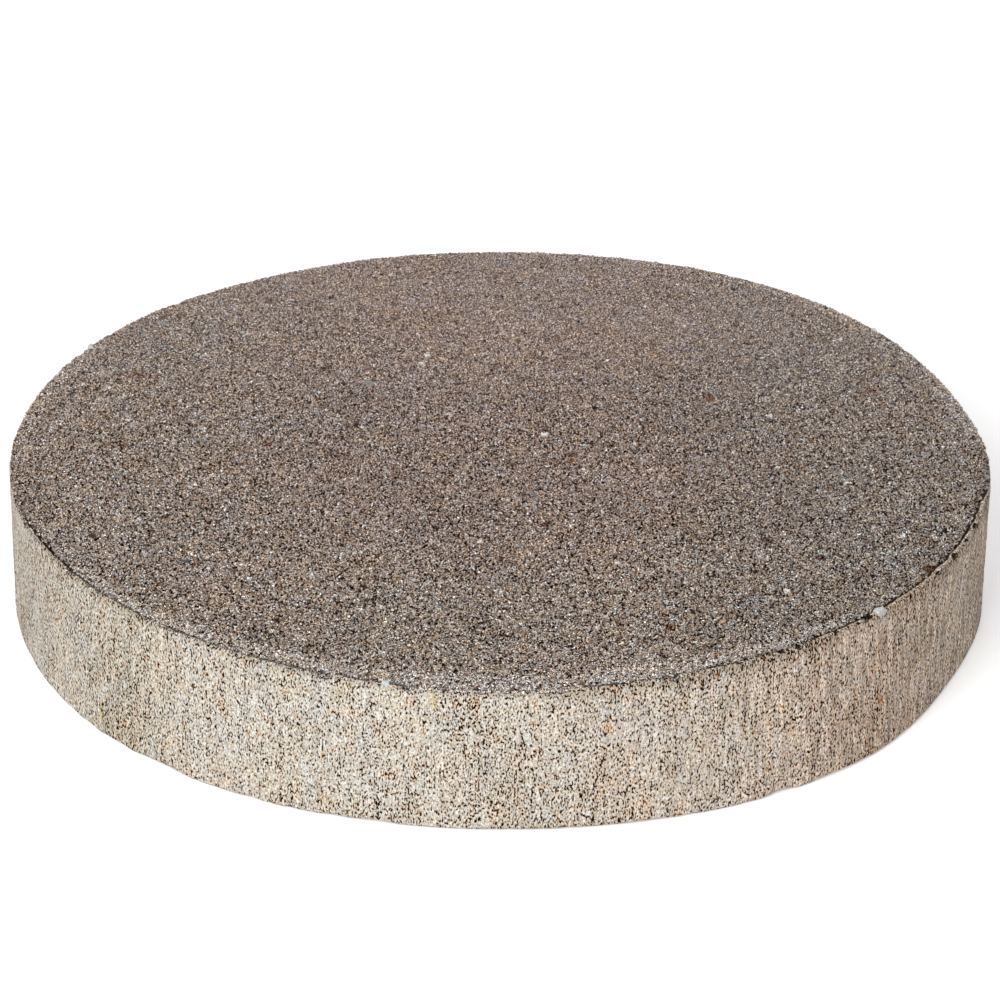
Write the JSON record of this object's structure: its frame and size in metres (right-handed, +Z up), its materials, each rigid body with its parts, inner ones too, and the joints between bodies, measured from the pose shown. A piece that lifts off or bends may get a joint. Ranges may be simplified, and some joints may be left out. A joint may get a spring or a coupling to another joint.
{
  "type": "stepping stone",
  "caption": "Round flat disc of pressed concrete with a rough tread and worn edges, laid on soil, sand or gravel to walk on.",
  "frame": {"origin": "centre of the base, on the plane that the stone lies on", "axes": "+Z up through the tread, along the axis of the disc; the disc is round, so +X and +Y are free, and -Y faces the picture's camera"},
  "size_m": [0.305, 0.305, 0.047],
  "materials": {
    "concrete": "rough pressed concrete: grey-brown sandy tread, cream wall pitted with small dark pores"
  },
  "bodies": {
    "root": {"stepping_stone": "concrete"}
  },
  "joints": []
}
